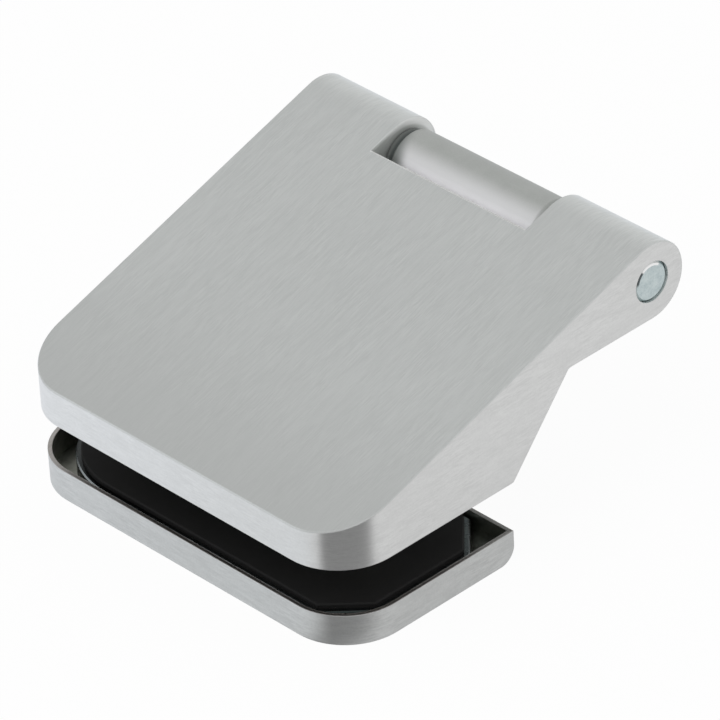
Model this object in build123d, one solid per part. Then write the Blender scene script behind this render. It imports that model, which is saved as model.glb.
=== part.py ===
from build123d import *
import math
import os

# Clamp-on hinge for a frameless glass door, in millimetres.
# Z is square to the glass, Y runs along the hinge pin, and +X points from the pin to the front edge.
# The hinge lies on the outer face of its cover cap (Z = 0), and the middle of its outline is the origin.

# Hinge body: a length of extruded section, with the barrel's notch milled out of its thick end
body_length = 84.0          # along the pin
pin_to_front = 77.5         # from the pin's axis to the front face
base_depth = 42.0           # of the face that bears on the glass, back to front
pin_above_base = 24.5       # from the face that bears on the glass up to the pin's axis
front_thickness = 7.5       # of the thin front edge
step_run = 14.5             # how far the step behind the base leans towards the pin
front_corner_r = 12.0
step_edge_r = 1.0
body_edge_chamfer = 0.2
notch_edge_chamfer = 0.15

# Knuckles, pin and the barrel between them
knuckle_d = 15.5
knuckle_length = 22.5
notch_clearance_r = 10.0    # milled round the pin's axis
pin_d = 7.9
pin_bore_clearance = 0.05
pin_recess = 0.25           # of each end of the pin below the body's side
pin_chamfer = 0.45
barrel_d = 12.3
barrel_edge_chamfer = 0.6
bush_wall = 0.7
bush_length = 10.0          # of the sleeve inside the barrel
bush_flange_d = 11.2
bush_flange_thickness = 1.3
bush_running_clearance = 0.06
bush_press_clearance = 0.02
knuckle_side_gap = 0.2      # between a bush's flange and the knuckle beside it

# Screws that lock the pin, up through the underside of each knuckle
lock_screw_d = 4.0
lock_screw_clearance = 0.05
lock_screw_recess = 0.3
lock_screw_seat_gap = 0.03
lock_socket_flats = 2.0
lock_socket_depth = 1.6

# Leaf that carries the hinge on the door frame, one piece with the barrel
leaf_end_inset = 1.0        # of the leaf from each end of the barrel
leaf_drop = 30.0            # from the pin's axis to the leaf's end
leaf_thickness = 3.0
leaf_corner_r = 4.0
leaf_root_r = 1.0
leaf_hole_d = 5.2
leaf_hole_inset = 7.0       # from the leaf's ends to the holes
leaf_hole_drop = 19.5       # from the pin's axis to the holes
leaf_countersink_d = 10.0

# Glass, and the two gaskets that touch it
glass_thickness = 8.8       # laminated pane
body_gasket_thickness = 1.0
body_gasket_inset = 1.5     # from the outline of the body's base
clamp_gasket_thickness = 1.0
clamp_gasket_inset = 1.0    # from the outline of the clamp plate
gasket_edge_chamfer = 0.25
clamp_plate_thickness = 4.0
clamp_plate_corner = 7.8    # cut off each corner of the square end, along each side
clamp_plate_chamfer = 0.25  # round the edge next to the glass
sleeve_d = 12.0
sleeve_hole_clearance = 1.5
sleeve_end_gap = 0.2

# Screws that pull the clamp plate up to threaded inserts in the body
screw_d = 6.0
screw_inset = 18.0          # from the body's ends to the screws
screw_head_d = 12.0
screw_head_recess = 0.1
screw_hole_clearance = 0.3
screw_tip_chamfer = 0.7
screw_socket_flats = 4.0
screw_socket_depth = 2.0
screw_thread_clearance = 0.02
insert_wall = 1.6
insert_length = 8.0
insert_hole_clearance = 0.02
screw_past_insert = 1.0
screw_tip_gap = 1.0         # from the screw's tip to the end of its hole

# Cover cap, held by a bowed spring in each end of the clamp plate
cap_wall = 0.8
cap_reveal = 0.6            # how far the cap's front and back stand inside the body's base
cap_back_edge_r = 3.3
cap_to_plate_side = 0.7
cap_to_plate_floor = 0.4
spring_thickness = 0.4
spring_height = 2.2
spring_span = 10.0
spring_pocket_depth = 2.0
spring_end_clearance = 0.3
spring_clearance = 0.05

# Slack for picking faces and edges by their place
near = 0.01

# Levels, from the cover cap's outer face upwards
plate_bottom_z = cap_wall + cap_to_plate_floor
plate_top_z = plate_bottom_z + clamp_plate_thickness
glass_bottom_z = plate_top_z + clamp_gasket_thickness
cap_height = glass_bottom_z
glass_top_z = glass_bottom_z + glass_thickness
base_z = glass_top_z + body_gasket_thickness
pin_z = base_z + pin_above_base
knuckle_bottom_z = pin_z - knuckle_d / 2
screw_bottom_z = plate_bottom_z + screw_head_recess
insert_top_z = base_z + insert_length
screw_tip_z = insert_top_z + screw_past_insert

# Places along X, and the clamp plate's depth
knuckle_r = knuckle_d / 2
pin_x = (knuckle_r - pin_to_front) / 2
front_x = pin_x + pin_to_front
base_back_x = front_x - base_depth
arm_root_x = base_back_x - step_run
base_middle_x = front_x - base_depth / 2
clamp_plate_inset = cap_wall + cap_to_plate_side
clamp_plate_depth = base_depth - 2 * (cap_reveal + clamp_plate_inset)

# Radii, and places along Y
pin_r = pin_d / 2
notch_length = body_length - 2 * knuckle_length
barrel_length = notch_length - 2 * (bush_flange_thickness + knuckle_side_gap)
barrel_r = barrel_d / 2
bush_bore_r = pin_r + bush_running_clearance
bush_r = bush_bore_r + bush_wall
barrel_bore_r = bush_r + bush_press_clearance
sleeve_r = sleeve_d / 2
screw_r = screw_d / 2
screw_hole_r = screw_r + screw_hole_clearance
insert_bore_r = screw_r + screw_thread_clearance
insert_r = insert_bore_r + insert_wall
leaf_width = barrel_length - 2 * leaf_end_inset
leaf_hole_y = leaf_width / 2 - leaf_hole_inset
knuckle_middle_y = (body_length - knuckle_length) / 2
screw_y = body_length / 2 - screw_inset


def bar_along_y(radius, start, length):
    """A round bar on the pin's axis, from start towards +Y."""
    return Location((pin_x, start, pin_z), (-90, 0, 0)) * Cylinder(
        radius, length, align=(Align.CENTER, Align.CENTER, Align.MIN))


def upright_bar(radius, low, high, x, y):
    """A round bar between two levels."""
    return Pos(x, y, low) * Cylinder(
        radius, high - low, align=(Align.CENTER, Align.CENTER, Align.MIN))


def upright_cone(low_r, high_r, low, x, y):
    """A 90 degree countersink cone that stands on the level low."""
    return Pos(x, y, low) * Cone(
        low_r, high_r, low_r - high_r, align=(Align.CENTER, Align.CENTER, Align.MIN))


def hex_socket(flats, depth, low, x, y):
    """The hollow of a hexagon socket that opens downwards at the level low."""
    hexagon = RegularPolygon(flats / 2, 6, major_radius=False)
    return Pos(x, y, low) * extrude(hexagon, depth)


def slab(outline, low, thickness):
    """A flat outline on the XY plane, raised to a level and given a thickness."""
    return Pos(0, 0, low) * extrude(outline, thickness)


def base_outline(inset, corner_r, end_inset=None):
    """The base seen from above: round corners in front, square ones behind, all set in from the body."""
    across = body_length - 2 * (inset if end_inset is None else end_inset)
    outline = Pos(base_middle_x, 0) * Rectangle(base_depth - 2 * inset, across)
    return fillet(outline.vertices().group_by(Axis.X)[-1], corner_r)


def plate_outline(inset):
    """The clamp plate seen from above: half round at one end, with cut corners at the other."""
    end_y = body_length / 2 - clamp_plate_inset - inset
    radius = clamp_plate_depth / 2 - inset
    straight = 2 * end_y - radius
    corner = clamp_plate_corner - inset * (2 - math.sqrt(2))
    outline = Pos(0, end_y) * Rectangle(2 * radius, straight, align=(Align.CENTER, Align.MAX))
    outline = chamfer(outline.vertices().group_by(Axis.Y)[-1], corner)
    return Pos(base_middle_x, 0) * (outline + Pos(0, end_y - straight) * Circle(radius))


def body_section():
    """The extruded section: a wedge whose top runs off the round end that holds the pin."""
    front_top = (front_x, base_z + front_thickness)
    run, rise = front_top[0] - pin_x, front_top[1] - pin_z
    touch = math.atan2(rise, run) + math.acos(knuckle_r / math.hypot(run, rise))
    top_start = (pin_x + knuckle_r * math.cos(touch), pin_z + knuckle_r * math.sin(touch))
    section = make_face(Wire([
        Line(top_start, front_top),
        Line(front_top, (front_x, base_z)),
        Line((front_x, base_z), (base_back_x, base_z)),
        Line((base_back_x, base_z), (arm_root_x, knuckle_bottom_z)),
        Line((arm_root_x, knuckle_bottom_z), (pin_x, knuckle_bottom_z)),
        ThreePointArc((pin_x, knuckle_bottom_z), (pin_x - knuckle_r, pin_z), top_start),
    ]))
    step_low, step_high = section.vertices().group_by(Axis.X)[-3:-1]
    return fillet(step_low + step_high, step_edge_r)


def notch_rims(body, outside):
    """The edges that the notch leaves in the body's outer faces."""
    reach = notch_length / 2 + near
    in_notch = [edge for edge in body.edges()
                if abs(edge.bounding_box().min.Y) < reach and abs(edge.bounding_box().max.Y) < reach]
    return [edge for edge in in_notch
            if any(face.distance_to(edge @ 0.5) < near for face in outside.faces())]


def make_body():
    """The section at length, with rounded edges, the notch, and bores for pin, screws and inserts."""
    body = extrude(Plane.XZ * body_section(), body_length / 2, both=True)
    corners = body.edges().filter_by(Axis.Z).group_by(Axis.X)[-1]
    body = fillet(corners, front_corner_r)
    smooth = body.edges().filter_by(Axis.Z) + body.edges().filter_by(Axis.Y).group_by(Axis.X)[0]
    smooth += body.edges().filter_by(Axis.Y).filter_by(lambda edge: edge.center().X < front_x - near)
    body = chamfer([edge for edge in body.edges() if edge not in smooth], body_edge_chamfer)

    outside = body
    body -= bar_along_y(notch_clearance_r, -notch_length / 2, notch_length)
    body = chamfer(notch_rims(body, outside), notch_edge_chamfer)
    body -= bar_along_y(pin_r + pin_bore_clearance, -body_length / 2, body_length)
    for side in (-1, 1):
        body -= upright_bar(lock_screw_d / 2, knuckle_bottom_z, pin_z, pin_x, side * knuckle_middle_y)
    for y in (-screw_y, screw_y):
        hole_top = screw_tip_z + screw_tip_gap
        body -= upright_bar(insert_r + insert_hole_clearance, base_z, hole_top, base_middle_x, y)
    return body


def make_cap():
    """A drawn cover with a thin wall, open towards the glass, and a round lower edge at its back."""
    def tray(inset, low, high, back_edge_r):
        outline = base_outline(cap_reveal + inset, front_corner_r - inset, inset)
        block = slab(outline, low, high - low)
        lower_back = block.edges().filter_by(Axis.Y).group_by(Axis.Z)[0].sort_by(Axis.X)[0]
        return fillet(lower_back, back_edge_r)
    shell = tray(0, 0, cap_height, cap_back_edge_r)
    return shell - tray(cap_wall, cap_wall, cap_height + cap_wall, cap_back_edge_r - cap_wall)


def make_clamp_plate():
    """The counter plate under the glass, with countersunk holes and a spring pocket in each end."""
    blank = slab(Pos(base_middle_x, 0) * Rectangle(clamp_plate_depth, body_length), plate_bottom_z,
                 clamp_plate_thickness)
    lower_back = blank.edges().filter_by(Axis.Y).group_by(Axis.Z)[0].sort_by(Axis.X)[0]
    plate = fillet(lower_back, cap_back_edge_r - cap_wall)
    plate &= slab(plate_outline(0), plate_bottom_z, clamp_plate_thickness)
    plate = chamfer(plate.faces().sort_by(Axis.Z)[-1].edges(), clamp_plate_chamfer)
    head_low = screw_bottom_z - screw_head_recess
    for y in (-screw_y, screw_y):
        plate -= upright_bar(screw_hole_r, plate_bottom_z, plate_top_z, base_middle_x, y)
        wide = screw_head_d / 2 + screw_head_recess
        plate -= upright_cone(wide, screw_hole_r, head_low, base_middle_x, y)
    for side in (-1, 1):
        end_y = side * (body_length / 2 - clamp_plate_inset)
        pocket = Box(spring_span + 2 * spring_end_clearance, 2 * spring_pocket_depth,
                     spring_height + spring_clearance, align=(Align.CENTER, Align.CENTER, Align.MIN))
        plate -= Pos(base_middle_x, end_y, plate_bottom_z) * pocket
    return plate


def make_cap_spring(side):
    """A strip bowed outwards, from the floor of its pocket to the cap's end wall."""
    wall_y = body_length / 2 - cap_wall - spring_clearance
    floor_y = body_length / 2 - clamp_plate_inset - spring_pocket_depth + spring_clearance
    bow = wall_y - floor_y - spring_thickness
    outer_r = (bow ** 2 + (spring_span / 2) ** 2) / (2 * bow)
    ring = Circle(outer_r) - Circle(outer_r - spring_thickness)
    keep = Pos(0, outer_r) * Rectangle(spring_span, 2 * (bow + spring_thickness))
    strip = Pos(base_middle_x, wall_y - outer_r) * (ring & keep)
    spring = slab(strip, plate_bottom_z + spring_clearance / 2, spring_height)
    return spring if side > 0 else mirror(spring, Plane.XZ)


def make_clamp_screw(y):
    """A countersunk socket screw, its head down in the plate."""
    shank = upright_bar(screw_r, screw_bottom_z, screw_tip_z, base_middle_x, y)
    shank = chamfer(shank.edges().sort_by(Axis.Z)[-1], screw_tip_chamfer)
    head = upright_cone(screw_head_d / 2, screw_r, screw_bottom_z, base_middle_x, y)
    return shank + head - hex_socket(screw_socket_flats, screw_socket_depth, screw_bottom_z, base_middle_x, y)


def make_insert(y):
    """A threaded steel sleeve let into the body."""
    outside = upright_bar(insert_r, base_z, insert_top_z, base_middle_x, y)
    return outside - upright_bar(insert_bore_r, base_z, insert_top_z, base_middle_x, y)


def make_sleeve(y):
    """A plastic sleeve that keeps the screw off the edge of the hole in the glass."""
    top = base_z - sleeve_end_gap
    outside = upright_bar(sleeve_r, plate_top_z, top, base_middle_x, y)
    return outside - upright_bar(screw_hole_r, plate_top_z, top, base_middle_x, y)


def make_gasket(outline, low, thickness, glass_face):
    """A thin pad, softened round its face on the glass (0 below, -1 above), with a hole round each sleeve."""
    pad = slab(outline, low, thickness)
    pad = chamfer(pad.faces().sort_by(Axis.Z)[glass_face].edges(), gasket_edge_chamfer)
    for y in (-screw_y, screw_y):
        pad -= upright_bar(sleeve_r + sleeve_hole_clearance, low, low + thickness, base_middle_x, y)
    return pad


def make_pin():
    """The hinge pin, with a chamfer at each end."""
    length = body_length - 2 * pin_recess
    pin = bar_along_y(pin_r, -length / 2, length)
    return chamfer(pin.edges().filter_by(GeomType.CIRCLE), pin_chamfer)


def make_lock_screw(side):
    """A set screw in a knuckle's underside, its end against the pin."""
    low, high = knuckle_bottom_z + lock_screw_recess, pin_z - pin_r - lock_screw_seat_gap
    y = side * knuckle_middle_y
    screw = upright_bar(lock_screw_d / 2 - lock_screw_clearance, low, high, pin_x, y)
    return screw - hex_socket(lock_socket_flats, lock_socket_depth, low, pin_x, y)


def make_frame_leaf():
    """The barrel, with the leaf that hangs from it and its two countersunk holes."""
    barrel = bar_along_y(barrel_r, -barrel_length / 2, barrel_length)
    barrel = chamfer(barrel.edges().filter_by(GeomType.CIRCLE), barrel_edge_chamfer)
    outline = Rectangle(leaf_width, leaf_drop, align=(Align.CENTER, Align.MAX))
    outline = fillet(outline.vertices().group_by(Axis.Y)[0], leaf_corner_r)
    leaf = extrude(Plane.YZ.offset(pin_x) * (Pos(0, pin_z) * outline), leaf_thickness / 2, both=True)
    whole = barrel + leaf
    root_z = pin_z - math.sqrt(barrel_r ** 2 - (leaf_thickness / 2) ** 2)
    roots = whole.edges().filter_by(Axis.Y).filter_by(lambda edge: abs(edge.center().Z - root_z) < near)
    whole = fillet(roots, leaf_root_r)
    whole -= bar_along_y(barrel_bore_r, -barrel_length / 2, barrel_length)
    front = Plane((pin_x + leaf_thickness / 2, 0, pin_z - leaf_hole_drop), x_dir=(0, 1, 0), z_dir=(1, 0, 0))
    for y in (-leaf_hole_y, leaf_hole_y):
        whole -= front * Pos(y, 0, 0) * CounterSinkHole(
            leaf_hole_d / 2, leaf_countersink_d / 2, leaf_thickness, 90)
    return whole


def make_bush(side):
    """A flanged bush pressed into one end of the barrel."""
    end_y = barrel_length / 2
    bush = bar_along_y(bush_r, end_y - bush_length, bush_length)
    bush += bar_along_y(bush_flange_d / 2, end_y, bush_flange_thickness)
    bush -= bar_along_y(bush_bore_r, end_y - bush_length, bush_length + bush_flange_thickness)
    return bush if side > 0 else mirror(bush, Plane.XZ)


nodes = {
    "hinge_body": make_body(),
    "body_gasket": make_gasket(
        base_outline(body_gasket_inset, front_corner_r - body_gasket_inset),
        glass_top_z, body_gasket_thickness, glass_face=0),
    "clamp_gasket": make_gasket(
        plate_outline(clamp_gasket_inset), plate_top_z, clamp_gasket_thickness, glass_face=-1),
    "clamp_plate": make_clamp_plate(),
    "cover_cap": make_cap(),
    "hinge_pin": make_pin(),
    "frame_leaf": make_frame_leaf(),
}
for number, side in enumerate((-1, 1), start=1):
    nodes[f"clamp_screw_{number}"] = make_clamp_screw(side * screw_y)
    nodes[f"screw_insert_{number}"] = make_insert(side * screw_y)
    nodes[f"glass_sleeve_{number}"] = make_sleeve(side * screw_y)
    nodes[f"cap_spring_{number}"] = make_cap_spring(side)
    nodes[f"pin_lock_screw_{number}"] = make_lock_screw(side)
    nodes[f"barrel_bush_{number}"] = make_bush(side)

os.makedirs("parts", exist_ok=True)
for name, shape in nodes.items():
    export_step(shape, f"parts/{name}.step")
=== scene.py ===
import math

import bpy
from mathutils import Matrix, Quaternion, Vector


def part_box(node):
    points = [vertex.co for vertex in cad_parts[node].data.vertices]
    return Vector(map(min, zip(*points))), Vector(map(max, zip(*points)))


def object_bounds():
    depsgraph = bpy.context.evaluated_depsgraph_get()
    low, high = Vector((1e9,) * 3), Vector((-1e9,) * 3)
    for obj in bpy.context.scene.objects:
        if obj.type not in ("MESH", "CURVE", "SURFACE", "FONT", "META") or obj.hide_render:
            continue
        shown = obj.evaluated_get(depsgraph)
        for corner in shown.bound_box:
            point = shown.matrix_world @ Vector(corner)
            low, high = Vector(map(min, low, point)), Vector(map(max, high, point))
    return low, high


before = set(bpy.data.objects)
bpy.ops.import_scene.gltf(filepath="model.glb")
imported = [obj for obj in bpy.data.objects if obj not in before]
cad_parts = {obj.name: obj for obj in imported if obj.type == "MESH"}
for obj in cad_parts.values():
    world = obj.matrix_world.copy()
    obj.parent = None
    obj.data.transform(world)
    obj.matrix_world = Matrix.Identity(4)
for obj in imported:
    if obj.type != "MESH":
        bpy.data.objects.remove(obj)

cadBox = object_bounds()
boxMiddle = (Vector(cadBox[0]) + Vector(cadBox[1])) / 2
millimetre = 0.001


def boxOf(name):
    low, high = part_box(name)
    return Vector(low), Vector(high)


pinLow, pinHigh = boxOf("hinge_pin")
pinAxis = (pinLow + pinHigh) / 2  # the pin lies along Y


# sockets and nodes

class Wire:
    # one output socket; arithmetic on it adds Math nodes
    def __init__(self, tree, socket):
        self.tree = tree
        self.socket = socket

    def combine(self, operation, first, second):
        return self.tree.add("ShaderNodeMath", {"operation": operation}, {0: first, 1: second})

    def __add__(self, other):
        return self.combine("ADD", self, other)

    def __radd__(self, other):
        return self.combine("ADD", other, self)

    def __sub__(self, other):
        return self.combine("SUBTRACT", self, other)

    def __rsub__(self, other):
        return self.combine("SUBTRACT", other, self)

    def __mul__(self, other):
        return self.combine("MULTIPLY", self, other)

    def __rmul__(self, other):
        return self.combine("MULTIPLY", other, self)

    def __truediv__(self, other):
        return self.combine("DIVIDE", self, other)

    def __pow__(self, other):
        return self.combine("POWER", self, other)

    def larger(self, other):
        return self.combine("MAXIMUM", self, other)

    def size(self):
        return self.combine("ABSOLUTE", self, 0)

    def between(self, low, high):
        # 0 at low, 1 at high, smooth in the middle
        return self.tree.add(
            "ShaderNodeMapRange", {"interpolation_type": "SMOOTHSTEP"},
            {"Value": self, "From Min": low, "From Max": high})


patternSettings = {
    "detail": 4.0,               # of fine patterns
    "softDetail": 3.0,           # of patches and clouds
    "coarseDetail": 2.0,
    "driftCells": (400, 400, 400),
    "roundingSamples": 6,
    # offsets that keep one pattern from repeating another
    "shifts": {
        "patches": (0.5, 0.7, 0.3),
        "bands": (0.3, 0.1, 0.2),
        "clouds": (0.1, 0.4, 0.6),
        "mottle": (0.2, 0.5, 0.1),
        "finishClouds": (0.7, 0.2, 0.4),
    },
}


class Tree:
    def __init__(self, nodeTree):
        self.nodeTree = nodeTree
        nodeTree.nodes.clear()

    def add(self, kind, settings=None, values=None, output=0):
        # gives back the output that is asked for, or a list where several are
        node = self.nodeTree.nodes.new(kind)
        for name, setting in (settings or {}).items():
            setattr(node, name, setting)
        for name, value in (values or {}).items():
            if isinstance(value, Wire):
                self.nodeTree.links.new(value.socket, node.inputs[name])
            else:
                node.inputs[name].default_value = value
        if isinstance(output, tuple):
            return [Wire(self, node.outputs[name]) for name in output]
        return Wire(self, node.outputs[output])

    def split(self, vector):
        return self.add("ShaderNodeSeparateXYZ", {}, {0: vector}, output=("X", "Y", "Z"))

    def place(self):
        return self.add("ShaderNodeTexCoord", output="Object")

    def facing(self):
        return self.split(self.add("ShaderNodeTexCoord", output="Normal"))

    def noise(self, scales, detail="coarseDetail", shift=None, place=None, waver=0.0):
        # its own fineness along each axis, in cells a metre
        offset = patternSettings["shifts"][shift] if shift else (0, 0, 0)
        where = self.add("ShaderNodeMapping", {}, {
            "Vector": place or self.place(), "Location": offset, "Scale": scales})
        return self.add("ShaderNodeTexNoise", {}, {
            "Vector": where, "Scale": 1.0, "Detail": patternSettings[detail], "Distortion": waver})

    def aroundPin(self):
        # distance from the pin's axis, and place along it
        x, y, z = self.split(self.place())
        radius = ((x - pinAxis.x) ** 2 + (z - pinAxis.z) ** 2) ** 0.5
        return radius, y

    def turned(self, fineness, wander):
        # tool marks of a lathe: rings about the pin's axis, that wander a little
        radius, along = self.aroundPin()
        drift = (self.noise(patternSettings["driftCells"]) - 0.5) * wander
        rings = self.add("ShaderNodeCombineXYZ", {}, {"X": radius + drift, "Y": along + drift})
        return self.noise((fineness, fineness, 1), place=rings)

    def bump(self, height, strength, distance, rounding=0.0):
        # relief, on edges that are rounded off a little
        values = {"Strength": strength, "Distance": distance, "Height": height}
        if rounding:
            values["Normal"] = self.add(
                "ShaderNodeBevel", {"samples": patternSettings["roundingSamples"]},
                {"Radius": rounding})
        return self.add("ShaderNodeBump", {}, values)

    def mixColours(self, amount, first, second):
        return self.add(
            "ShaderNodeMix", {"data_type": "RGBA"},
            {"Factor": amount, 6: first, 7: second}, output=2)

    def mixShaders(self, amount, first, second):
        return self.add("ShaderNodeMixShader", {}, {0: amount, 1: first, 2: second})

    def principled(self, values):
        return self.add("ShaderNodeBsdfPrincipled", {}, values)

    def glow(self, colour):
        return self.add("ShaderNodeEmission", {}, {"Color": colour, "Strength": 1.0})

    def finish(self, shader):
        self.add("ShaderNodeOutputMaterial", {}, {"Surface": shader}, output=())


def newMaterial(name):
    material = bpy.data.materials.new(name)
    material.use_nodes = True
    return material, Tree(material.node_tree)


def grey(level, warmth=0.0):
    return (level * (1 + warmth), level, level * (1 - warmth), 1)


def dress(material, *names):
    for name in names:
        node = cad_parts[name]
        node.data.materials.clear()
        node.data.materials.append(material)


# hinge body: anodised aluminium, brushed from the pin to the front edge on top, level on its sides

topBrush = {
    "grain": (330, 4200, 330),
    "bands": (160, 1300, 160),
    "shares": (0.6, 0.22, 0.1, 0.08),    # of grain, bands, clouds and mottle
    "roughness": 0.38,
    "bump": 0.4,
    "stretch": 0.0,
}
sideBrush = {
    "grain": (420, 420, 3400),
    "bands": (200, 200, 900),
    "shares": (0.5, 0.2, 0.1, 0.2),
    "roughness": 0.34,
    "bump": 1.0,
    "stretch": 0.8,              # spreads highlights across the grain
}
bodyAluminium = {
    # the top is given darker colours than the sides: painted shade
    "top": dict(
        topBrush,
        light=(0.75, 0.77, 0.76, 1),
        dark=(0.665, 0.685, 0.675, 1),
        frontPaintedShade=(0.60, 0.615, 0.605, 1),
        frontReach=(8 * millimetre, 50 * millimetre),
        frontShadeShare=0.6),         # of the front's painted shade, at the end of its reach
    "sides": dict(
        sideBrush,
        light=(0.805, 0.81, 0.805, 1),
        dark=(0.71, 0.715, 0.71, 1)),
    "brushTurn": 0.25,           # of a whole turn, from level to upright
    "clouds": (30, 60, 30),
    "mottle": (2400, 2400, 2400),
    "waver": 0.8,
    "patches": (110, 240, 110),
    "patchEdge": (0.35, 0.65),
    "faintest": 0.35,            # strength of the grain between its patches
    "contrast": (0.36, 0.64),
    "edgeRounding": 0.25 * millimetre,
    "roughnessSpread": 0.10,
    "bumpDepth": 0.03 * millimetre,
    # limits of the way that a face points, for the faces that are brushed level
    "levelFaces": {"up": (0.45, 0.6), "forward": (-0.3, 0.0), "endways": (0.6, 0.8)},
}

# the notch round the barrel, left as the cutter made it, with painted shade on its end walls
milledNotch = {
    "light": grey(0.94),
    "dark": grey(0.84),
    "contrast": (0.3, 0.7),
    "marks": 5000,
    "wander": 0.2 * millimetre,
    "metallic": 0.6,
    "roughness": 0.55,
    "bump": 0.4,
    "bumpDepth": 0.03 * millimetre,
    "rounding": 1.2 * millimetre,
    "radius": 10.2 * millimetre,
    "pastBush": 0.3 * millimetre,        # from a bush's outer end to just inside the wall
    "blend": 0.1 * millimetre,
    # end walls: painted shade, dark low down and light high up, along a line that leans with the
    # body's top
    "wallFacing": (0.5, 0.7),
    "wallPaintedShade": (0.60, 0.62, 0.60, 1),
    "wallHigh": (0.86, 0.87, 0.86, 1),
    "wallReach": (2.4 * millimetre, 6.4 * millimetre),
    "wallSlope": 0.45,
    # painted shade beside the barrel: there a wall is as dark as it is elsewhere by this much lower
    "wallShade": 3.0 * millimetre,
    "wallShadeReach": (6.0 * millimetre, 6.9 * millimetre),
    "rimTone": (0.92, 0.935, 0.92, 1),   # of the floor of the notch where it faces up
    "rimUp": (0.3, 0.5),
    "rimEndways": (0.2, 0.4),
}


def brushed(tree, look, brush):
    # the grain comes and goes in patches
    patch = tree.noise(look["patches"], "softDetail", "patches").between(*look["patchEdge"])
    strength = look["faintest"] + (1 - look["faintest"]) * patch
    fine = 0.5 + (tree.noise(brush["grain"], "detail", waver=look["waver"]) - 0.5) * strength
    parts = [
        fine,
        tree.noise(brush["bands"], shift="bands"),
        tree.noise(look["clouds"], shift="clouds"),
        tree.noise(look["mottle"], "detail", "mottle")]
    streak = sum(part * share for part, share in zip(parts, brush["shares"]))
    colour = tree.mixColours(streak.between(*look["contrast"]), brush["dark"], brush["light"])
    # painted shade: the top grows darker towards the front edge
    if "frontPaintedShade" in brush:
        towardsFrontShade = tree.split(tree.place())[0].between(*brush["frontReach"])
        colour = tree.mixColours(towardsFrontShade * brush["frontShadeShare"], colour, brush["frontPaintedShade"])
    return tree.principled({
        "Base Color": colour,
        "Metallic": 1.0,
        "Roughness": brush["roughness"] + (0.5 - streak) * look["roughnessSpread"],
        "Normal": tree.bump(fine, brush["bump"], look["bumpDepth"], look["edgeRounding"]),
        "Anisotropic": brush["stretch"],
        "Anisotropic Rotation": look["brushTurn"]})


def topAndSides(tree, look):
    limits = look["levelFaces"]
    x, y, z = tree.facing()
    upright = 1 - z.size().between(*limits["up"])
    ways = x.between(*limits["forward"]).larger(y.size().between(*limits["endways"]))
    return tree.mixShaders(
        upright * ways, brushed(tree, look, look["top"]), brushed(tree, look, look["sides"]))


def milled(tree, look):
    marks = tree.turned(look["marks"], look["wander"])
    shine = tree.mixColours(marks.between(*look["contrast"]), look["dark"], look["light"])

    x, y, z = tree.split(tree.place())
    radius, along = tree.aroundPin()
    # painted shade on the end walls: darker low down and next to the barrel
    shade = (1 - radius.between(*look["wallShadeReach"])) * look["wallShade"]
    lit = z - pinAxis.z - (x - pinAxis.x) * look["wallSlope"] - shade
    wall = tree.mixColours(lit.between(*look["wallReach"]), look["wallPaintedShade"], look["wallHigh"])

    facingX, facingY, facingZ = tree.facing()
    endways = facingY.size()
    colour = tree.mixColours(endways.between(*look["wallFacing"]), shine, wall)
    rim = facingZ.between(*look["rimUp"]) * (1 - endways.between(*look["rimEndways"]))
    return tree.principled({
        "Base Color": tree.mixColours(rim, colour, look["rimTone"]),
        "Metallic": look["metallic"],
        "Roughness": look["roughness"],
        "Normal": tree.bump(marks, look["bump"], look["bumpDepth"], look["rounding"])})


def makeBodyAluminium():
    material, tree = newMaterial("bodyAluminium")
    look = milledNotch
    radius, along = tree.aroundPin()
    wall = boxOf("barrel_bush_2")[1].y + look["pastBush"]
    nearPin = 1 - radius.between(look["radius"], look["radius"] + look["blend"])
    inNotch = nearPin * (1 - along.size().between(wall - look["blend"], wall))
    tree.finish(tree.mixShaders(inNotch, topAndSides(tree, bodyAluminium), milled(tree, look)))
    return material


dress(makeBodyAluminium(), "hinge_body")


# cover cap: steel sheet, brushed outside and darker inside

capSteel = dict(
    bodyAluminium,
    # the rim that faces up is given darker colours than the sides: painted shade
    top=dict(
        topBrush,
        light=(0.50, 0.48, 0.46, 1),
        dark=(0.42, 0.40, 0.38, 1)),
    sides=dict(
        sideBrush,
        light=(0.695, 0.705, 0.70, 1),
        dark=(0.575, 0.585, 0.58, 1),
        roughness=0.42),
    edgeRounding=0.35 * millimetre,
    undersideFacing=(0.2, 0.45),
    insideLight=(0.47, 0.48, 0.43, 1),
    insideDark=(0.38, 0.39, 0.34, 1),
    insideContrast=(0.3, 0.7),
    insideRoughness=0.42,
    insideMottle=(900, 900, 900),
    insideBump=0.4,
    innerWallReach=(-2 * millimetre, -1 * millimetre),
    innerFloorFacing=(0.5, 0.8),
)


def makeCapSteel():
    look = capSteel
    material, tree = newMaterial("capSteel")
    facingX, facingY, facingZ = tree.facing()
    underside = brushed(
        tree, look, dict(look["top"], light=look["sides"]["light"], dark=look["sides"]["dark"]))
    outside = tree.mixShaders(
        (0 - facingZ).between(*look["undersideFacing"]), topAndSides(tree, look), underside)

    # the inner walls face the middle of the cap, and its floor faces up
    capLow, capHigh = boxOf("cover_cap")
    middle = (capLow + capHigh) / 2
    x, y, z = tree.split(tree.place())
    outward = (x - middle.x) * facingX + (y - middle.y) * facingY
    innerWall = 1 - outward.between(*look["innerWallReach"])
    innerFloor = facingZ.between(*look["innerFloorFacing"]) * (1 - z.between(middle.z, capHigh.z))
    mottle = tree.noise(look["insideMottle"], "detail")
    shine = mottle.between(*look["insideContrast"])
    inside = tree.principled({
        "Base Color": tree.mixColours(shine, look["insideDark"], look["insideLight"]),
        "Metallic": 1.0,
        "Roughness": look["insideRoughness"] + (mottle - 0.5) * look["roughnessSpread"],
        "Normal": tree.bump(mottle, look["insideBump"], look["bumpDepth"])})
    tree.finish(tree.mixShaders(innerWall.larger(innerFloor), outside, inside))
    return material


dress(makeCapSteel(), "cover_cap")
print("stage: brushed metal")


# finishes with an even mottle, or with rings round the pin's axis where turned

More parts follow.
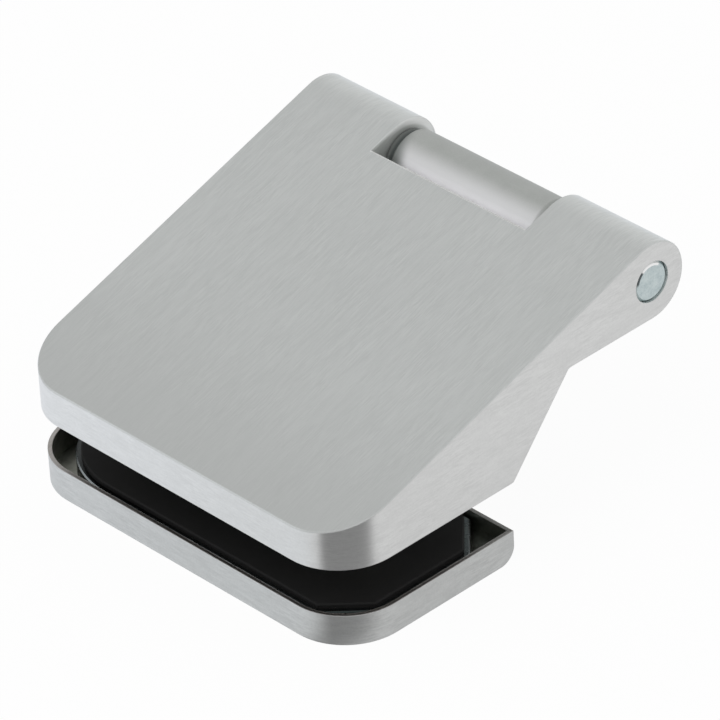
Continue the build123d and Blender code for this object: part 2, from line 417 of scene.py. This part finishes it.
plainFinish = {
    "clouds": (300, 300, 300),
    "patternShare": 0.6,         # of the fine pattern; clouds have the rest
    "contrast": (0.3, 0.7),
    "metallic": 0.0,
    "rounding": 0.0,
    "tones": [],                 # each takes over where its measure goes from low to high
}


def makeFinish(name, ownLook):
    look = dict(plainFinish, **ownLook)
    material, tree = newMaterial(name)
    if "turned" in look:
        pattern = tree.turned(look["turned"], look["wander"])
    else:
        pattern = tree.noise(look["grain"], "detail")
    cloud = tree.noise(look["clouds"], "softDetail", "finishClouds")
    blend = pattern * look["patternShare"] + cloud * (1 - look["patternShare"])
    colour = tree.mixColours(blend.between(*look["contrast"]), look["dark"], look["light"])
    for measure, low, high, tone in look["tones"]:
        colour = tree.mixColours(measure(tree, look).between(low, high), colour, tone)
    tree.finish(tree.principled({
        "Base Color": colour,
        "Metallic": look["metallic"],
        "Roughness": look["roughness"] + (cloud - 0.5) * look["roughnessSpread"],
        "Normal": tree.bump(pattern, look["bump"], look["bumpDepth"], look["rounding"])}))
    return material


gasketRubber = {  # matt black, with the fine pebble of a moulded sheet
    "light": grey(0.0065, 0.02),
    "dark": grey(0.0035, 0.02),
    "grain": (3500, 3500, 3500),
    "roughness": 0.8,
    "roughnessSpread": 0.15,
    "bump": 0.35,
    "bumpDepth": 0.03 * millimetre,
}
dress(makeFinish("gasketRubber", gasketRubber), "body_gasket", "clamp_gasket")


def alongX(tree, look):
    return tree.split(tree.place())[0]


def alongY(tree, look):
    return tree.split(tree.place())[1]


def alongBoth(tree, look):
    x, y, z = tree.split(tree.place())
    return x + y


def onChamfer(tree, look):
    # faces that point neither up nor sideways
    up = tree.facing()[2]
    return up.between(*look["chamferStarts"]) * (1 - up.between(*look["chamferEnds"]))


plateHigh = boxOf("clamp_plate")[1]
cornerCut = 7.8 * millimetre
cutCorner = plateHigh.x + plateHigh.y - cornerCut  # x + y along the plate's cut corner
# zinc over stamped steel, darker towards the left; a painted highlight on the chamfers, and painted
# shade on the cut corner's chamfer
clampZinc = {
    "light": (0.22, 0.24, 0.24, 1),
    "dark": (0.14, 0.155, 0.155, 1),
    "tones": [
        (alongY, 20 * millimetre, -20 * millimetre, (0.05, 0.055, 0.055, 1)),
        # painted highlight on the chamfers
        (onChamfer, 0, 1, (0.42, 0.46, 0.48, 1)),
        # painted shade on the cut corner's chamfer
        (alongBoth, cutCorner - 0.42 * millimetre, cutCorner - 0.34 * millimetre,
         (0.045, 0.055, 0.055, 1))],
    "chamferStarts": (0.5, 0.6),
    "chamferEnds": (0.8, 0.9),
    "grain": (1500, 1500, 1500),
    "metallic": 1.0,
    "roughness": 0.28,
    "roughnessSpread": 0.12,
    "bump": 0.25,
    "bumpDepth": 0.02 * millimetre,
}
dress(makeFinish("clampZinc", clampZinc), "clamp_plate")


def pinRim(tree, look):
    # 1 on the rim of the pin's ends, then how high round it, and how far to the front
    radius, along = tree.aroundPin()
    x, y, z = tree.split(tree.place())
    return radius.between(*look["rim"]), (z - pinAxis.z) / radius, x - pinAxis.x


def pinRimShade(tree, look):
    # painted shade on the lower front of the rim
    rim, rise, forward = pinRim(tree, look)
    return rim * rise.between(*look["frontRise"]) * forward.between(*look["frontReach"])


def pinRimHighlight(tree, look):
    # painted highlight on the upper side of the rim
    rim, rise, forward = pinRim(tree, look)
    return rim * rise.between(*look["upperRise"])


pinZinc = {  # zinc with a blue-green passivation; painted highlight on the upper side of its chamfers, painted shade on their front
    "light": (0.65, 0.73, 0.735, 1),
    "dark": (0.50, 0.585, 0.60, 1),
    "tones": [
        # painted shade low on the rim's front, painted highlight on its upper side
        (pinRimShade, 0, 1, (0.10, 0.115, 0.12, 1)),
        (pinRimHighlight, 0, 1, (1.0, 1.0, 1.0, 1))],
    "rim": (2.95 * millimetre, 3.15 * millimetre),
    "frontRise": (0.0, 0.35),
    "frontReach": (0, 2 * millimetre),
    "upperRise": (0.74, 0.86),
    "grain": (900, 900, 900),
    "clouds": (2600, 2600, 2600),
    "metallic": 1.0,
    "roughness": 0.30,
    "roughnessSpread": 0.14,
    "bump": 0.25,
    "bumpDepth": 0.02 * millimetre,
}
dress(makeFinish("pinZinc", pinZinc), "hinge_pin")


def barrelEndShade(tree, look):
    # painted shade on the left end of the barrel, along a line that slants back
    x, y, z = tree.split(tree.place())
    onBarrel = 1 - tree.aroundPin()[0].between(*look["barrelEdge"])
    return ((x - pinAxis.x) * look["endSlant"] - y).between(*look["endReach"]) * onBarrel


leafSatin = {  # barrel and leaf: blasted and anodised, without grain
    "light": (0.44, 0.455, 0.44, 1),
    "dark": (0.39, 0.405, 0.39, 1),
    "tones": [
        # painted light: the barrel lighter towards its front, then a painted highlight near its
        # front edge
        (alongX, pinAxis.x + 1.0 * millimetre, pinAxis.x + 5.6 * millimetre, (0.76, 0.76, 0.77, 1)),
        (alongX, pinAxis.x + 4.5 * millimetre, pinAxis.x + 5.5 * millimetre, (0.985, 0.98, 1.0, 1)),
        # painted shade at the barrel's left end
        (barrelEndShade, 0, 1, (0.22, 0.235, 0.225, 1))],
    "endSlant": 0.5,
    "endReach": (15.4 * millimetre, 20.2 * millimetre),
    "barrelEdge": (6.3 * millimetre, 6.8 * millimetre),
    "rounding": 0.5 * millimetre,
    "grain": (5200, 5200, 5200),
    "clouds": (350, 350, 350),
    "metallic": 0.4,
    "roughness": 0.5,
    "roughnessSpread": 0.10,
    "bump": 0.12,
    "bumpDepth": 0.01 * millimetre,
}
dress(makeFinish("leafSatin", leafSatin), "frame_leaf")


def outward(tree, look):
    return alongY(tree, look).size()


bushPolymer = {  # dark bearing plastic, turned to length
    "light": (0.055, 0.065, 0.062, 1),
    "dark": (0.035, 0.042, 0.04, 1),
    # painted light: the bushes' outer ends, beside the notch walls, are lighter
    "tones": [(outward, 18.2 * millimetre, 18.9 * millimetre, (0.12, 0.13, 0.125, 1))],
    "turned": 4000,
    "wander": 0.1 * millimetre,
    "roughness": 0.45,
    "roughnessSpread": 0.12,
    "bump": 0.2,
    "bumpDepth": 0.02 * millimetre,
}
dress(makeFinish("bushPolymer", bushPolymer), "barrel_bush_1", "barrel_bush_2")

screwZinc = {
    "light": (0.52, 0.55, 0.56, 1),
    "dark": (0.40, 0.43, 0.44, 1),
    "grain": (2200, 2200, 2200),
    "metallic": 1.0,
    "roughness": 0.28,
    "roughnessSpread": 0.12,
    "bump": 0.2,
    "bumpDepth": 0.02 * millimetre,
}
dress(makeFinish("screwZinc", screwZinc), "clamp_screw_1", "clamp_screw_2")

blackOxide = {  # set screws
    "light": grey(0.06),
    "dark": grey(0.03),
    "grain": (3000, 3000, 3000),
    "metallic": 1.0,
    "roughness": 0.38,
    "roughnessSpread": 0.14,
    "bump": 0.25,
    "bumpDepth": 0.02 * millimetre,
}
dress(makeFinish("blackOxide", blackOxide), "pin_lock_screw_1", "pin_lock_screw_2")

insertSteel = {
    "light": (0.50, 0.49, 0.46, 1),
    "dark": (0.38, 0.37, 0.35, 1),
    "grain": (500, 500, 4000),
    "metallic": 1.0,
    "roughness": 0.33,
    "roughnessSpread": 0.12,
    "bump": 0.25,
    "bumpDepth": 0.02 * millimetre,
}
dress(makeFinish("insertSteel", insertSteel), "screw_insert_1", "screw_insert_2")

sleeveNylon = {  # natural white, a little waxy
    "light": (0.72, 0.71, 0.67, 1),
    "dark": (0.64, 0.63, 0.59, 1),
    "grain": (1200, 1200, 3500),
    "roughness": 0.42,
    "roughnessSpread": 0.12,
    "bump": 0.2,
    "bumpDepth": 0.02 * millimetre,
}
dress(makeFinish("sleeveNylon", sleeveNylon), "glass_sleeve_1", "glass_sleeve_2")

springSteel = {  # blue-grey rolled strip
    "light": (0.36, 0.39, 0.43, 1),
    "dark": (0.27, 0.29, 0.33, 1),
    "grain": (250, 2500, 4000),
    "metallic": 1.0,
    "roughness": 0.25,
    "roughnessSpread": 0.10,
    "bump": 0.2,
    "bumpDepth": 0.01 * millimetre,
}
dress(makeFinish("springSteel", springSteel), "cap_spring_1", "cap_spring_2")
print("stage: other finishes")


# floor, dark card, sky, lamps and camera

studio = {
    "floorHalf": 3.0,
    "floorDrop": 0.05 * millimetre,      # so that it doesn't lie in the cap's outer face
    "floorColour": grey(0.85),
    "white": grey(1),
    "whiteShare": 0.95,          # of what the camera sees
    # glowing tones that the floor shows only in reflections, painted reflections on the metal, and
    # where along Y each takes over, in metres
    "floorTones": ((0.935, 0.96, 1.0, 1), (0.83, 0.85, 0.87, 1), grey(0.71), grey(0.82)),
    "floorTurns": ((-0.065, 0.01), (0.02, 0.045), (0.052, 0.075)),
    "skyFront": grey(0.645),
    "skyBack": grey(0.80),
    "skyTurn": (-0.9, -0.2),     # along X, where the sky changes from back to front
    "skyRight": grey(0.74),
    "skySide": (0.2, 0.5),       # along Y, where it changes to the right
}
floorLevel = cadBox[0][2] - studio["floorDrop"]


def addPlane(name, size, height=0.0):
    bpy.ops.object.select_all(action="DESELECT")
    bpy.ops.mesh.primitive_plane_add(size=size, location=(0, 0, height))
    plane = bpy.context.object
    plane.name = name
    return plane


def makeFloor():
    floor = addPlane("floor", 2 * studio["floorHalf"], floorLevel)
    material, tree = newMaterial("floorPale")
    lit = tree.add("ShaderNodeBsdfDiffuse", {}, {"Color": studio["floorColour"]})
    camera, glossy, through = tree.add(
        "ShaderNodeLightPath", output=("Is Camera Ray", "Is Glossy Ray", "Is Transmission Ray"))
    across = tree.split(tree.place())[1]
    # painted reflections: for reflected rays the floor glows in these tones
    mirrored = studio["floorTones"][0]
    for turn, tone in zip(studio["floorTurns"], studio["floorTones"][1:]):
        mirrored = tree.mixColours(across.between(*turn), mirrored, tone)
    white = tree.glow(tree.mixColours(camera, mirrored, studio["white"]))
    share = (camera * studio["whiteShare"]).larger(glossy.larger(through))
    tree.finish(tree.mixShaders(share, lit, white))
    floor.data.materials.append(material)


# a dark card on the floor beyond the front right corner, with soft sides, that only reflections
# show: it draws the shaded bands on the round corners
darkCard = {
    "starts": ((41.1 * millimetre, 33.0 * millimetre), (37.4 * millimetre, 41.4 * millimetre)),
    "sides": (15.2, 101.7),      # degrees from +X
    "length": 0.6,
    "softness": 4.5 * millimetre,
    "runBack": 4,                # how far its near end lies behind the starts, in softnesses
    "lift": 0.03 * millimetre,
    "colour": grey(0.19),
    "paler": grey(0.27),
    "palerFrom": (14 * millimetre, 19 * millimetre),
    "palerTo": (24 * millimetre, 32 * millimetre),
}


def makeDarkCard():
    softness = darkCard["softness"]
    level = floorLevel + darkCard["lift"]
    middle = math.radians(sum(darkCard["sides"]) / 2)
    back = Vector((math.cos(middle), math.sin(middle), 0)) * -darkCard["runBack"] * softness
    starts = [Vector((x, y, level)) for x, y in darkCard["starts"]]
    turns = [math.radians(side) for side in darkCard["sides"]]
    corners = []
    for start, turn, shift in zip(starts, turns, (-softness, softness)):
        along = Vector((math.cos(turn), math.sin(turn), 0))
        across = Vector((-along.y, along.x, 0)) * shift
        corners += [start + across + back, start + across + along * darkCard["length"]]
    card = addPlane("darkCard", 1)
    for vertex, point in zip(card.data.vertices, corners):
        vertex.co = point

    material, tree = newMaterial("cardDark")
    x, y, z = tree.split(tree.place())
    inside = []
    for start, turn, sign in zip(starts, turns, (1, -1)):
        depth = ((y - start.y) * math.cos(turn) - (x - start.x) * math.sin(turn)) * sign
        inside.append(depth.between(-softness, softness))
    away = ((x - starts[0].x) ** 2 + (y - starts[0].y) ** 2) ** 0.5
    paler = away.between(*darkCard["palerFrom"]) * (1 - away.between(*darkCard["palerTo"]))
    dark = tree.glow(tree.mixColours(paler, darkCard["colour"], darkCard["paler"]))
    clear = tree.add("ShaderNodeBsdfTransparent")
    tree.finish(tree.mixShaders(inside[0] * inside[1], clear, dark))
    card.data.materials.append(material)
    card.visible_camera = False
    card.visible_diffuse = False
    card.visible_shadow = False


def makeSky():
    world = bpy.data.worlds.new("studioSky")
    world.use_nodes = True
    bpy.context.scene.world = world
    tree = Tree(world.node_tree)
    x, y, z = tree.split(tree.add("ShaderNodeTexCoord", output="Generated"))
    camera = tree.add("ShaderNodeLightPath", output="Is Camera Ray")
    sky = tree.mixColours(x.between(*studio["skyTurn"]), studio["skyBack"], studio["skyFront"])
    sky = tree.mixColours(y.between(*studio["skySide"]), sky, studio["skyRight"])
    colour = tree.mixColours(camera, sky, studio["white"])
    light = tree.add("ShaderNodeBackground", {}, {"Color": colour, "Strength": 1.0})
    tree.add("ShaderNodeOutputWorld", {}, {"Surface": light}, output=())


softboxes = {  # angles in degrees, azimuth from +X; sizes and distances in metres
    "frontLeft": {
        "azimuth": -42, "elevation": 32, "distance": 1.3, "size": 0.8, "watts": 0.9,
        "colour": (0.92, 0.96, 1.0), "mirrored": True},
    "front": {
        "azimuth": 0, "elevation": 60, "distance": 1.4, "size": 0.9, "watts": 6.0,
        "colour": (1.0, 0.99, 0.98), "mirrored": False},
}


def fromMiddle(azimuth, elevation, distance):
    across = math.cos(math.radians(elevation)) * distance
    return boxMiddle + Vector((
        across * math.cos(math.radians(azimuth)), across * math.sin(math.radians(azimuth)),
        distance * math.sin(math.radians(elevation))))


def makeLamps():
    for name, box in softboxes.items():
        lamp = bpy.data.lights.new(name, "AREA")
        lamp.size = box["size"]
        lamp.energy = box["watts"]
        lamp.color = box["colour"]
        holder = bpy.data.objects.new(name, lamp)
        holder.location = fromMiddle(box["azimuth"], box["elevation"], box["distance"])
        holder.visible_glossy = box["mirrored"]
        aim = boxMiddle - holder.location
        holder.rotation_euler = aim.to_track_quat("-Z", "Y").to_euler()
        bpy.context.scene.collection.objects.link(holder)


view = {
    "azimuth": 47.784,
    "elevation": 33.962,
    "roll": -3.306,
    "distance": 1.2259,
    "focalLength": 346.73,
    "sensorWidth": 36.0,
    "nearest": 0.01,
    # from the middle of the object to the point that the camera looks at
    "aimShift": (0.05 * millimetre, 3.43 * millimetre, 0.06 * millimetre),
}


def makeCamera():
    camera = bpy.data.cameras.new("camera")
    camera.lens = view["focalLength"]
    camera.sensor_width = view["sensorWidth"]
    camera.clip_start = view["nearest"]
    holder = bpy.data.objects.new("camera", camera)
    aim = boxMiddle + Vector(view["aimShift"])
    reach = fromMiddle(view["azimuth"], view["elevation"], view["distance"]) - boxMiddle
    roll = Quaternion((0, 0, 1), math.radians(view["roll"]))
    turn = (-reach).to_track_quat("-Z", "Y") @ roll
    holder.matrix_world = Matrix.Translation(aim + reach) @ turn.to_matrix().to_4x4()
    bpy.context.scene.collection.objects.link(holder)
    bpy.context.scene.camera = holder


makeFloor()
makeDarkCard()
makeSky()
makeLamps()
makeCamera()
bpy.context.scene.view_settings.view_transform = "Standard"
print("stage: studio")
